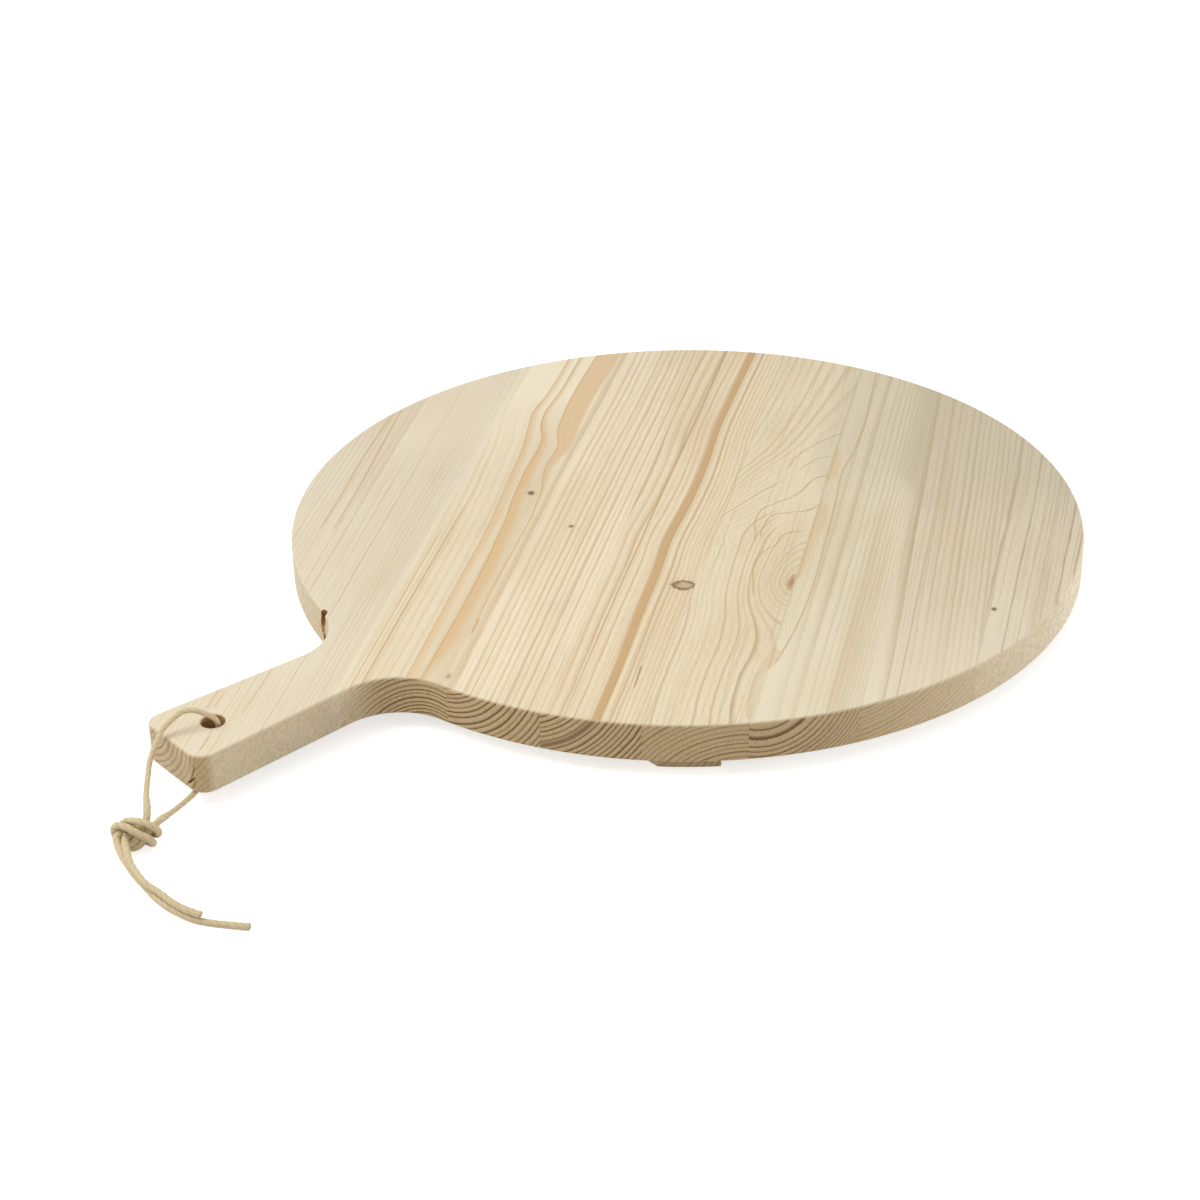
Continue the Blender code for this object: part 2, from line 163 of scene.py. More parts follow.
def twine_strand(name, arm, knot, tail):
    """A strand as a tube of three plies that wind about its line, with its cut end frayed."""
    line, stations = strand_line(arm, knot, tail)
    from_knot = np.linalg.norm(line - np.array(KNOT_CENTRE), axis=1)
    past_knot = np.arange(len(line)) > np.argmin(from_knot)
    opened = np.clip(1 - (stations[-1] - stations) / END_REACH, 0, 1)
    tail_thickness = TAIL_THICKNESS + (END_THICKNESS - TAIL_THICKNESS) * opened
    free = np.where(past_knot, tail_thickness, ARM_THICKNESS)
    ease = np.clip((from_knot - KNOT_REACH) / KNOT_EASE, 0, 1)
    thickness = KNOT_THICKNESS + (free - KNOT_THICKNESS) * ease * ease * (3 - 2 * ease)

    sides = PLY_COUNT * PLY_SIDES
    around = 2 * math.pi * np.arange(sides) / sides
    swell = 1 - PLY_GROOVE * (1 - np.abs(np.cos(PLY_COUNT * around / 2)) ** PLY_ROUNDNESS)
    along = np.gradient(line, axis=0)
    along /= np.linalg.norm(along, axis=1)[:, None]
    across = np.cross(along[0], (0.0, 1.0, 0.0))
    points = []
    for index, (place, ahead) in enumerate(zip(line, along)):
        across = across - ahead * across.dot(ahead)
        across /= np.linalg.norm(across)
        beside = np.cross(ahead, across)
        angle = around + 2 * math.pi * stations[index] / LAY_LENGTH
        reach = thickness[index] / 2 * swell
        ring = place + np.outer(np.cos(angle) * reach, across) + np.outer(np.sin(angle) * reach, beside)
        if index == len(line) - 1:
            ring += np.outer(np.repeat(FRAY, PLY_SIDES), ahead)
        ring[:, 2] = np.maximum(ring[:, 2], 0)  # pressed flat where it lies on the table
        points.append(ring)
    rings = len(points)
    points = np.concatenate([*points, line[:1], line[-1:]])
    faces = []
    for ring in range(rings - 1):
        for side in range(sides):
            near, far = ring * sides, (ring + 1) * sides
            after = (side + 1) % sides
            faces.append((near + side, near + after, far + after, far + side))
    last = (rings - 1) * sides
    for side in range(sides):
        after = (side + 1) % sides
        faces.append((after, side, rings * sides))
        faces.append((last + side, last + after, rings * sides + 1))

    mesh = bpy.data.meshes.new(name)
    mesh.from_pydata(points.tolist(), [], faces)
    mesh.validate()
    lay = mesh.uv_layers.new(name="lay")
    for face in mesh.polygons:
        for corner in face.loop_indices:
            ring, side = divmod(mesh.loops[corner].vertex_index, sides)
            wrap = face.index % sides == sides - 1 and side == 0
            along_twine = stations[min(ring, rings - 1)] / LAY_LENGTH
            lay.data[corner].uv = (along_twine, 1.0 if wrap else side / sides)
    mesh.shade_smooth()
    strand = bpy.data.objects.new(name, mesh)
    bpy.context.scene.collection.objects.link(strand)
    return strand, line


def srgb(red, green, blue):
    """A colour as it is read off a screen, 0 to 255, turned into linear light."""
    channels = [value / 255 for value in (red, green, blue)]
    linear = [c / 12.92 if c <= 0.04045 else ((c + 0.055) / 1.055) ** 2.4 for c in channels]
    return (*linear, 1.0)


def new_material(name, roughness):
    """A material with one Principled shader, and its tree."""
    made = bpy.data.materials.new(name)
    made.use_nodes = True
    shader = made.node_tree.nodes["Principled BSDF"]
    shader.inputs["Roughness"].default_value = roughness
    return made, made.node_tree, shader


class Field:
    """A value that varies over a surface: sums and products of fields add their nodes to the tree."""

    def __init__(self, socket):
        self.tree = socket.id_data
        self.socket = socket

    def math(self, operation, *others):
        node = self.tree.nodes.new("ShaderNodeMath")
        node.operation = operation
        for entry, value in zip(node.inputs, (self, *others)):
            if isinstance(value, Field):
                self.tree.links.new(value.socket, entry)
            else:
                entry.default_value = value
        return Field(node.outputs[0])

    def __add__(self, other):
        return self.math("ADD", other)

    def __sub__(self, other):
        return self.math("SUBTRACT", other)

    def __mul__(self, other):
        return self.math("MULTIPLY", other)

    def __truediv__(self, other):
        return self.math("DIVIDE", other)

    def __pow__(self, other):
        return self.math("POWER", other)

    def step(self, low, high):
        """0 below one value and 1 above another, eased between them; low may be the larger."""
        node = self.tree.nodes.new("ShaderNodeMapRange")
        node.interpolation_type = "SMOOTHSTEP"
        self.tree.links.new(self.socket, node.inputs["Value"])
        node.inputs["From Min"].default_value = low
        node.inputs["From Max"].default_value = high
        return Field(node.outputs["Result"])

    def curve(self, points, straight=False):
        """The value of a drawn curve, through points of place and height."""
        node = self.tree.nodes.new("ShaderNodeFloatCurve")
        drawn = node.mapping.curves[0]
        node.mapping.use_clip = False
        while len(drawn.points) < len(points):
            drawn.points.new(0, 0)
        for target, point in zip(drawn.points, points):
            target.location = point
            target.handle_type = "VECTOR" if straight else "AUTO"
        node.mapping.update()
        self.tree.links.new(self.socket, node.inputs["Value"])
        return Field(node.outputs["Value"])


def components(vector):
    """The three parts of a vector, as fields."""
    tree = vector.id_data
    node = tree.nodes.new("ShaderNodeSeparateXYZ")
    tree.links.new(vector, node.inputs[0])
    return [Field(part) for part in node.outputs]


def combine(*fields):
    """A vector from its parts."""
    tree = fields[0].tree
    node = tree.nodes.new("ShaderNodeCombineXYZ")
    for entry, field in zip(node.inputs, fields):
        tree.links.new(field.socket, entry)
    return node.outputs[0]


def noise(vector, size, seed, detail=2.0):
    """Cloudy noise with lumps of a size along each axis, from 0 to 1."""
    tree = vector.id_data
    shrink = tree.nodes.new("ShaderNodeVectorMath")
    shrink.operation = "MULTIPLY_ADD"
    tree.links.new(vector, shrink.inputs[0])
    shrink.inputs[1].default_value = [1 / side for side in size]
    shrink.inputs[2].default_value = (seed * 7.31, seed * 3.17, seed * 5.77)
    cloud = tree.nodes.new("ShaderNodeTexNoise")
    cloud.inputs["Scale"].default_value = 1.0
    cloud.inputs["Detail"].default_value = detail
    tree.links.new(shrink.outputs[0], cloud.inputs["Vector"])
    return Field(cloud.outputs["Fac"])


def blend(share, first, second):
    """One colour going over into another by a field; a colour is a value or a socket."""
    tree = share.tree
    mix = tree.nodes.new("ShaderNodeMix")
    mix.data_type = "RGBA"
    tree.links.new(share.socket, mix.inputs["Factor"])
    for entry, colour in zip(mix.inputs[6:8], (first, second)):
        if isinstance(colour, bpy.types.NodeSocket):
            tree.links.new(colour, entry)
        else:
            entry.default_value = colour
    return mix.outputs[2]


def surface(shader, tone, height, distance):
    """Give a shader its colour, and the relief of a height field, in metres at its full height."""
    tree = shader.id_data
    tree.links.new(tone, shader.inputs["Base Color"])
    node = tree.nodes.new("ShaderNodeBump")
    node.inputs["Distance"].default_value = distance
    tree.links.new(height.socket, node.inputs["Height"])
    tree.links.new(node.outputs["Normal"], shader.inputs["Normal"])


TWINE_TAN = srgb(204, 183, 141)
TWINE_PALE = srgb(226, 210, 172)
# painted shade: a darker colour for the grooves between the plies, where shade falls
TWINE_GROOVE_PAINTED_SHADE = srgb(158, 128, 80)  # in the grooves between plies
YARN_RELIEF = 0.12 * MM


def twine_material():
    """Waxed natural twine: fine yarns at a slant on each ply, with painted shade in the grooves."""
    made, tree, shader = new_material("natural_twine", 0.72)
    uv = tree.nodes.new("ShaderNodeUVMap")
    uv.uv_map = "lay"
    along, around, _ = components(uv.outputs["UV"])
    ply = (around * PLY_COUNT).math("FRACT")
    groove = (ply - 0.5).math("ABSOLUTE").step(0.32, 0.5)
    skew = combine(along * 2.0 + around * 6.0, around * 24.0 - along * 5.0)
    yarn = noise(skew, (1.0, 0.35, 1.0), 3, detail=3.0)
    tone = blend(yarn.step(0.3, 0.72), TWINE_TAN, TWINE_PALE)
    # painted shade in the grooves between the plies
    tone = blend(groove * 0.3, tone, TWINE_GROOVE_PAINTED_SHADE)
    surface(shader, tone, yarn - groove * 0.6, YARN_RELIEF)
    return made


twine = twine_material()
for name, node, length, *route in (
    ("hanging_cord_upper", "cord_upper_strand", UPPER_LENGTH, UPPER_ARM, UPPER_KNOT, SHORT_TAIL),
    ("hanging_cord_lower", "cord_lower_strand", LOWER_LENGTH, LOWER_ARM, LOWER_KNOT, LONG_TAIL),
):
    strand, line = twine_strand(name, *route)
    strand.data.materials.append(twine)
    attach(strand, "hang_cord")
    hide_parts(node)


# The board is a glued panel, sawn to a disc with a straight handle, drilled for the cord and rounded
# over along its edges. The blank is drawn here as one plate, and the staves are cut from it.
DISC_RADIUS = 225 * MM
DISC_CENTRE = Vector((0, 62, 0)) * MM
BOARD_BOTTOM = 9.3 * MM
BOARD_TOP = 31.3 * MM
HANDLE_END_Y = -287 * MM
HANDLE_END_WIDTH = 51.5 * MM
HANDLE_NECK_WIDTH = 41 * MM  # where the handle's sides would meet the rim's line
HANDLE_CORNER_RADIUS = 9 * MM
NECK_FILLET_RADIUS = 35 * MM
HOLE_PLACE = Vector((0, -261, 0)) * MM
HOLE_DIAMETER = 12 * MM
HOLE_SIDES = 64
# painted shade: the wall of the hole is coloured dark brown for the shade inside it
BORE_SHADED_BROWN = srgb(184, 148, 102)
BORE_SHADED_DARK = srgb(142, 106, 64)
DRILL_MARKS = (6 * MM, 6 * MM, 0.5 * MM)
ARRIS = 1.6 * MM  # rounding of the edges
ARRIS_STEPS = 5
SHARP_EDGE = math.radians(50)  # an edge that turns further than this is rounded over
CORNER_STEPS = 12  # straight pieces that draw each bend of the outline
FILLET_STEPS = 24
RIM_STEPS = 180
WELD = 0.01 * MM  # points closer than this become one


def select_only(obj):
    """Select one object alone and make it the active one."""
    deselect()
    bpy.context.view_layer.objects.active = obj
    obj.select_set(True)


def edit(obj):
    """Start editing one object alone, in vertex mode."""
    select_only(obj)
    bpy.ops.object.mode_set(mode="EDIT")
    bpy.ops.mesh.select_mode(type="VERT")


def select_mesh():
    """Select the whole mesh that is being edited."""
    bpy.ops.mesh.select_all(action="SELECT")


def done(drawn=False):
    """Back to object mode; a mesh that was drawn has its faces turned outward first."""
    if drawn:
        select_mesh()
        bpy.ops.mesh.normals_make_consistent(inside=False)
    bpy.ops.object.mode_set(mode="OBJECT")


def apply_modifier(obj, kind, **values):
    """Add a modifier to an object, set it and apply it."""
    select_only(obj)
    made = obj.modifiers.new(kind.lower(), kind)
    for name, value in values.items():
        setattr(made, name, value)
    bpy.ops.object.modifier_apply(modifier=made.name)


def cut(obj, tool, operation="DIFFERENCE", finish="INDEX"):
    """Cut an object with a tool, which goes; TRANSFER leaves the tool's material on the cut."""
    apply_modifier(obj, "BOOLEAN", object=tool, operation=operation, solver="EXACT",
                   material_mode=finish)
    bpy.data.objects.remove(tool)


def bore_with_painted_shade():
    """The wall of the hole, ringed by the drill's turns and painted a darker brown for the shade inside
    the hole.
    """
    made, tree, shader = new_material("bore_with_painted_shade", 0.8)
    place = tree.nodes.new("ShaderNodeTexCoord").outputs["Object"]
    turns = noise(place, DRILL_MARKS, 4, detail=3.0)
    # painted shade inside the hole, ringed by the drill's turns
    tone = blend(turns.step(0.35, 0.7), BORE_SHADED_BROWN, BORE_SHADED_DARK)
    surface(shader, tone, turns, 0.1 * MM)
    return made


def board_blank():
    """The plate: one point is drawn round half of the outline, mirrored, filled and extruded."""
    neck = Vector((HANDLE_NECK_WIDTH / 2, DISC_CENTRE.y - DISC_RADIUS))
    end = Vector((HANDLE_END_WIDTH / 2, HANDLE_END_Y))
    along = (end - neck).normalized()
    outward = Vector((-along.y, along.x))
    side_angle = math.atan2(outward.y, outward.x)
    inner = neck - HANDLE_CORNER_RADIUS * outward
    corner = inner + (HANDLE_END_Y + HANDLE_CORNER_RADIUS - inner.y) / along.y * along
    disc = DISC_CENTRE.to_2d()
    outer = neck + NECK_FILLET_RADIUS * outward - disc
    behind = outer.dot(along)
    apart = DISC_RADIUS + NECK_FILLET_RADIUS
    fillet = outer + (math.sqrt(behind ** 2 - outer.length_squared + apart ** 2) - behind) * along
    rim_angle = math.atan2(fillet.y, fillet.x)
    fillet += disc

    def spin(centre, angle, steps):
        bpy.ops.mesh.spin(steps=steps, angle=angle, center=(*centre, BOARD_BOTTOM), axis=(0, 0, -1))

    def draw_to(place):
        mesh = bmesh.from_edit_mesh(bpy.context.object.data)
        here = next(v for v in mesh.verts if v.select).co
        bpy.ops.mesh.extrude_vertices_move(
            TRANSFORM_OT_translate={"value": (place.x - here.x, place.y - here.y, 0)})

    deselect()
    bpy.ops.mesh.primitive_plane_add(size=HANDLE_END_WIDTH, location=(0, HANDLE_END_Y, BOARD_BOTTOM))
    blank = bpy.context.object
    bpy.ops.object.transform_apply(location=True)
    edit(blank)
    select_mesh()
    bpy.ops.mesh.merge(type="CENTER")
    draw_to(corner - Vector((0, HANDLE_CORNER_RADIUS)))
    spin(corner, math.pi / 2 + side_angle, CORNER_STEPS)
    draw_to(fillet - NECK_FILLET_RADIUS * outward)
    spin(fillet, math.atan2(*(disc - fillet).yx) - (side_angle + math.pi), FILLET_STEPS)
    spin(disc, math.pi / 2 - rim_angle, RIM_STEPS)
    select_mesh()
    bpy.ops.mesh.symmetrize(direction="POSITIVE_X", threshold=WELD)
    bpy.ops.mesh.remove_doubles(threshold=WELD)
    select_mesh()
    bpy.ops.mesh.edge_face_add()
    bpy.ops.mesh.extrude_region_move(TRANSFORM_OT_translate={"value": (0, 0, BOARD_TOP - BOARD_BOTTOM)})
    done(drawn=True)

    bpy.ops.mesh.primitive_cylinder_add(
        vertices=HOLE_SIDES, radius=HOLE_DIAMETER / 2, depth=4 * BOARD_TOP, location=HOLE_PLACE)
    bpy.context.object.data.materials.append(bore_with_painted_shade())
    blank.data.materials.append(None)  # the slot that each stave's own wood takes
    cut(blank, bpy.context.object, finish="TRANSFER")
    apply_modifier(blank, "BEVEL", width=ARRIS, segments=ARRIS_STEPS, limit_method="ANGLE",
                   angle_limit=SHARP_EDGE, loop_slide=False)
    return blank


blank = board_blank()
GRAIN_TURN = math.radians(36)  # of the staves, from the board's own length
ACROSS = Vector((math.cos(GRAIN_TURN), math.sin(GRAIN_TURN), 0))
ALONG = Vector((-math.sin(GRAIN_TURN), math.cos(GRAIN_TURN), 0))
PANEL_MIDDLE = Vector((0, 62, 20.3)) * MM


# The staves are planed spruce, glued edge to edge with hardly a line between them. Each one was sawn
# from another part of a trunk, so its growth rings lie about a heart of their own: they show as lines
# on the faces and as arcs on the sawn ends, which drink in the light and look darker.
GLUE_LINE = 0.04 * MM
ARRIS_SMOOTH = math.radians(20)  # facets that meet at less than this shade as one curve
SAW_EXACTNESS = 1e-6
SEAMS = [-188.2, -135.8, -83.5, -31.2, 21.2, 73.5, 125.8, 178.2]  # millimetres across the grain
TIP_PARTING = -191  # along the grain, between the two ends of the outer stave
SAWN_PALE = srgb(200, 174, 131)
SAWN_DARK = srgb(110, 82, 48)
SAWN_PORE = srgb(118, 90, 56)
FRESH_TAN = srgb(212, 187, 146)
RESIN = srgb(203, 165, 114)
# a paler tone, which on the right-hand staves is painted light towards the front of the top
PALE_TONE_AND_PAINTED_LIGHT = srgb(251, 239, 211)
# painted shade: a grey that darkens the top towards the back of the right-hand staves
PAINTED_SHADE_GREY = srgb(186, 176, 150)
RUBBED = srgb(192, 179, 154)  # fibres raised on the sanded walls
HAIR_SHARE = 0.4  # of each kind of mark in the wood's colour
CLOUD_SHARE = 0.3
FIBRE_SHARE = 0.25
FLECK_SHARE = 0.33
WOOL_SHARE = 0.75
PORE_SHARE = 0.4
STAIN_SHARE = 0.15  # resin about a knot
TRUNK_SWAY = 5  # millimetres that the trunk's rings wander
RESIN_LINE = 0.9  # millimetres of resin along a streak's sharp edge
GRAIN_RELIEF = 0.07 * MM
# share of the sawn look, by how squarely a wall faces along the grain
SAWN_SHARE = [(0.2, 0.0), (0.4, 0.27), (0.5, 0.38), (0.66, 0.59), (0.78, 0.8), (0.9, 1.0)]


def spruce(name, pith, ring, pale, line, turn=GRAIN_TURN, middle=PANEL_MIDDLE, bend=None, dip=None,
           sawn_pith=None, ruffle=0.4, lines=0.8, late_wood=0.6, uneven=1.0, faint=0.3, sawn_lines=1.0,
           seed=1, swells=(), calm=(), broad=(), tone_and_painted_light=(), streaks=(), knots=()):
    """Wood with growth rings about a pith, given in millimetres across the grain and up.

    The pith may bend sideways and dip along the grain, and a branch swells the rings about it. A sawn
    pith is the one seen on the sawn ends, with a length to add to the distance from it. A ring is a
    year's width, or a curve of years over the distance. The years may be uneven in strength and fade in
    a calm oval, and broad ones are dark bands on the sawn ends, each with its inner and outer distance,
    its softness and its share. Tone and painted light gives shares of other colours along the grain on
    the planed top: a paler tone on some staves, and on the right-hand ones painted light towards the
    front and painted shade towards the back. A streak has its sharp edge, a place across the grain or a
    curve of places along it, then the curve of its width, the side of the edge that it lies on, its
    fade, its colour and its share; on two staves a streak carries painted shade. A knot has its middle,
    its half sizes, and the colours of its core and its bark.
    """
    made, tree, shader = new_material(name, 0.6)
    shader.inputs["Specular IOR Level"].default_value = 0.3
    source = tree.nodes.new("ShaderNodeTexCoord")
    grain = tree.nodes.new("ShaderNodeMapping")
    grain.vector_type = "TEXTURE"
    grain.inputs["Location"].default_value = middle
    grain.inputs["Rotation"].default_value = (0, 0, turn)
    grain.inputs["Scale"].default_value = (MM, MM, MM)
    tree.links.new(source.outputs["Object"], grain.inputs["Vector"])
    place = grain.outputs["Vector"]
    u, v, w = components(place)

    def oval(centre_u, centre_v, half_u, half_v):
        return (((u - centre_u) / half_u) ** 2 + ((v - centre_v) / half_v) ** 2).math("SQRT")

    # the distance from the pith, with the trunk's own bends and the swelling about its branches; the
    # size of a noise is in millimetres across the grain, along it and up
    sway = (noise(place, (80, 260, 80), seed, detail=1.0) - 0.5) * TRUNK_SWAY
    feather = (noise(place, (9, 30, 9), seed + 1, detail=1.0) - 0.5) * (2 * ruffle)
    side = u + sway + feather - pith[0]
    if bend:
        side = side - v.curve(bend)
    rise = w - pith[1]
    if dip:
        rise = rise + v.curve(dip)
    radius = (side * side + rise * rise).math("SQRT")
    for *shape, height in swells:
        bulge = oval(*shape)
        radius = radius - (bulge * bulge * -1.0).math("EXPONENT") * height
    bent = combine(side, v, w)
    fibre = noise(bent, (0.5, 24, 0.5), seed + 3, detail=3.0)
    hair = noise(bent, (1.3, 170, 1.3), seed + 4)

    def growth(radius):
        """The late wood of the years by their distance from the pith, and how strong each year is."""
        outward = combine(radius, radius, radius)
        years = (noise(outward, (16, 16, 16), seed + 2, detail=1.0) - 0.5) * 1.6
        grown = radius.curve(ring) if isinstance(ring, list) else radius / ring
        phase = grown + years + (fibre - 0.5) * 0.25
        late = phase.math("FRACT")
        lot = tree.nodes.new("ShaderNodeTexWhiteNoise")
        lot.noise_dimensions = "1D"
        tree.links.new(phase.math("FLOOR").socket, lot.inputs["W"])
        strength = Field(lot.outputs["Value"]) ** uneven * (1 - faint) + faint
        return late.step(1 - late_wood, 0.9) * late.step(1.0, 0.9), strength

    late, strength = growth(radius)
    for shape in calm:
        strength = strength * oval(*shape).step(0.6, 1.05)

    # face and edge grain, then the sawn ends
    facing = tree.nodes.new("ShaderNodeVectorMath")
    facing.operation = "DOT_PRODUCT"
    normal = source.outputs["Normal"]
    tree.links.new(normal, facing.inputs[0])
    facing.inputs[1].default_value = (-math.sin(turn), math.cos(turn), 0)
    end = Field(facing.outputs["Value"]).math("ABSOLUTE").curve(SAWN_SHARE)
    planed = components(normal)[2].math("ABSOLUTE") * 0.9 + 0.1
    sawn_late, sawn_strength, relief = late, strength, late
    if sawn_pith:
        sawn_side = u + feather - sawn_pith[0]
        sawn_rise = w - sawn_pith[1]
        sawn_radius = (sawn_side * sawn_side + sawn_rise * sawn_rise).math("SQRT") + sawn_pith[2]
        sawn_late, sawn_strength = growth(sawn_radius)
        relief = late + (sawn_late - late) * end
    cloud = noise(place, (30, 120, 30), seed + 5)
    fleck = noise(place, (0.45, 5, 0.45), seed + 8)
    pores = noise(place, (1.0, 1.0, 1.0), seed + 6, detail=3.0)
    wool = noise(place, (0.8, 6, 2.5), seed + 9, detail=3.0)
    tone = blend((late * strength * planed * lines).math("MINIMUM", 1.0), pale, line)
    tone = blend(hair.step(0.5, 0.72) * planed * (HAIR_SHARE * lines), tone, line)
    tone = blend(cloud.step(0.4, 0.75) * CLOUD_SHARE, tone, FRESH_TAN)
    tone = blend(fibre.step(0.5, 0.8) * FIBRE_SHARE, tone, FRESH_TAN)
    tone = blend(fleck.step(0.52, 0.75) * FLECK_SHARE, tone, line)
    tone = blend(wool.step(0.4, 0.65) * (planed * -WOOL_SHARE + WOOL_SHARE), tone, RUBBED)
    # colours along the grain on the planed top: a paler tone, and on the right-hand staves painted light
    # and painted shade
    for shares, colour in tone_and_painted_light:
        tone = blend(v.curve(shares, straight=True) * planed, tone, colour)
    dark_years = sawn_late * (sawn_strength * 0.7 + 0.3) * (end * 0.75 + 0.25) * sawn_lines
    dark_years = dark_years.math("MINIMUM", 1.0)
    for inner, outer, soft, share in broad:
        band = radius.step(inner - soft, inner + soft) * radius.step(outer + soft, outer - soft)
        dark_years = dark_years.math("MAXIMUM", band * share)
    sawn = blend(dark_years, SAWN_PALE, SAWN_DARK)
    sawn = blend(pores.step(0.45, 0.75) * PORE_SHARE, sawn, SAWN_PORE)
    tone = blend(end, tone, sawn)

    # broad years of dark late wood, and other bands along the grain, some of them painted shade: each
    # begins softly and breaks off at a sharp edge
    shown = end * -0.85 + 1.0
    for edge, width, side_of_edge, fade, colour, share in streaks:
        edge_place = v.curve(edge) if isinstance(edge, list) else edge
        offset = (u + feather * 0.4 + (hair - 0.5) * 0.9 - edge_place) * side_of_edge
        reach = v.curve(width, straight=True)
        inside = (offset / 0.45).step(-1.0, 1.0) * shown * (fibre * 0.5 + 0.75)
        tone = blend(inside * ((offset - reach) / fade).step(1.0, -1.0) * share, tone, colour)
        rim = inside * (offset - RESIN_LINE).step(0.5, -0.5) * reach.step(-0.5, 0.5)
        tone = blend(rim * (0.6 * share), tone, RESIN)
    for centre_u, centre_v, half_u, half_v, core, bark in knots:
        lump = (noise(place, (3, 3, 3), seed + 7) - 0.5) * 0.8
        reach = oval(centre_u, centre_v, half_u, half_v) + lump
        heart = oval(centre_u + 0.12 * half_u, centre_v, half_u, half_v) + lump
        tone = blend(reach.step(2.4, 0.9) * STAIN_SHARE, tone, RESIN)
        tone = blend(reach.step(1.15, 0.88), tone, bark)
        tone = blend(heart.step(0.85, 0.35), tone, core)
    surface(shader, tone, relief * 0.4 + fibre * 0.5 + pores * end * 1.5, GRAIN_RELIEF)
    return made


TORN_WOOD = srgb(204, 162, 106)
DARK_BARK = srgb(160, 110, 54)
BARK_CRUMB = srgb(112, 72, 34)
BARK_RELIEF = 0.5 * MM
RAGGED = 0.22  # of a hollow's least half size


def torn_bark():
    """The floor of a hollow: dark old bark, and paler torn wood further down."""
    made, tree, shader = new_material("torn_bark", 0.9)
    place = tree.nodes.new("ShaderNodeTexCoord").outputs["Object"]
    crumbs = noise(place, (0.6 * MM, 0.6 * MM, 2 * MM), 9, detail=4.0)
    depth = components(place)[2] / MM + (crumbs - 0.5) * 8.0
    tone = blend(depth.step(19.0, 25.0), TORN_WOOD, DARK_BARK)
    tone = blend(crumbs.step(0.4, 0.7) * 0.7, tone, BARK_CRUMB)
    surface(shader, tone, crumbs, BARK_RELIEF)
    return made


old_bark = torn_bark()


def gouge(piece, place, turns, size, seed):
    """Tear a ragged hollow out of a piece: its middle, its turns in degrees and its half sizes."""
    deselect()
    bpy.ops.mesh.primitive_ico_sphere_add(subdivisions=3, radius=MM, location=Vector(place) * MM,
                                          rotation=[math.radians(turn) for turn in turns], scale=size)
    tool = bpy.context.object
    bpy.ops.object.transform_apply()
    edit(tool)
    select_mesh()
    bpy.ops.transform.vertex_random(offset=RAGGED * min(size) * MM, normal=0.6, seed=seed)
    done()
    tool.data.materials.append(old_bark)
    cut(piece, tool, finish="TRANSFER")


def stave(node, number, material, gouges=()):
    """One stave, cut from a copy of the blank between its two seams, with its hollows."""
    piece = blank.copy()
    piece.data = blank.data.copy()
    piece.name = "wood_" + node
    bpy.context.scene.collection.objects.link(piece)
    edit(piece)

    def saw(direction, offset, **side):
        select_mesh()
        place = PANEL_MIDDLE + direction * (offset * MM)
        bpy.ops.mesh.bisect(plane_co=place, plane_no=direction, use_fill=True,
                            threshold=SAW_EXACTNESS, **side)

    if number > 1:
        saw(ACROSS, SEAMS[number - 2] + GLUE_LINE / MM / 2, clear_inner=True)
    if number <= len(SEAMS):
        saw(ACROSS, SEAMS[number - 1] - GLUE_LINE / MM / 2, clear_outer=True)
    if node.endswith("rim"):
        saw(ALONG, TIP_PARTING, clear_inner=True)
    if node.endswith("tip"):
        saw(ALONG, TIP_PARTING, clear_outer=True)
    done()
    piece.data.materials[0] = material
    for seed, (place, turns, size) in enumerate(gouges):
        gouge(piece, place, turns, size, seed)
    select_only(piece)
    bpy.ops.object.material_slot_remove_unused()
    bpy.ops.object.shade_smooth_by_angle(angle=ARRIS_SMOOTH)
    apply_modifier(piece, "WEIGHTED_NORMAL", keep_sharp=True)
    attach(piece, "board")
    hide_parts(node)


def rim_place(angle, height):
    """A point on the rim, by degrees round the disc and millimetres up."""
    out = Matrix.Rotation(math.radians(angle), 3, "Z") @ Vector((DISC_RADIUS, 0, 0))
    return (*((DISC_CENTRE + out) / MM).xy, height)


# the outermost stave, met at the rim and at the tip of the handle, where its joint has cracked
quiet = spruce(
    "spruce_quiet", pith=(-233, 16), ring=3.0, bend=[(-220, 4), (220, -4)], seed=11, lines=0.65,
    uneven=2.0, faint=0.15, sawn_lines=1.2, pale=srgb(227, 215, 191), line=srgb(196, 175, 139),
    tone_and_painted_light=[([(-300, 0.15), (-200, 0.1), (-150, 0), (220, 0)], PALE_TONE_AND_PAINTED_LIGHT)],
    streaks=[
        (-197.5, [(-258, -2), (-250, 0.6), (-234, 0.6), (-226, -2)], 1, 0.5, srgb(196, 170, 130), 0.55),
        (-194, [(-256, -2), (-248, 0.7), (-238, 0.5), (-222, -2)], 1, 0.5, srgb(196, 170, 130), 0.5),
        ([(-60, -200.8), (4, -202.6), (36, -203.7), (100, -203)],
         [(-75, -2), (-50, 0.9), (60, 1.1), (100, 0.3), (115, -2)], 1, 0.6, srgb(202, 181, 145), 0.55),
        ([(-60, -193), (4, -195.1), (52, -197.7), (100, -199.8)],
         [(-75, -2), (-50, 1), (60, 1.4), (100, 0.4), (115, -2)], 1, 0.8, srgb(202, 181, 145), 0.65),
    ],
)
stave("stave_1_rim", 1, quiet)
stave("stave_1_tip", 1, quiet, gouges=[((17, -287, 15.5), (0, -43, 0), (5.0, 3.0, 0.6))])

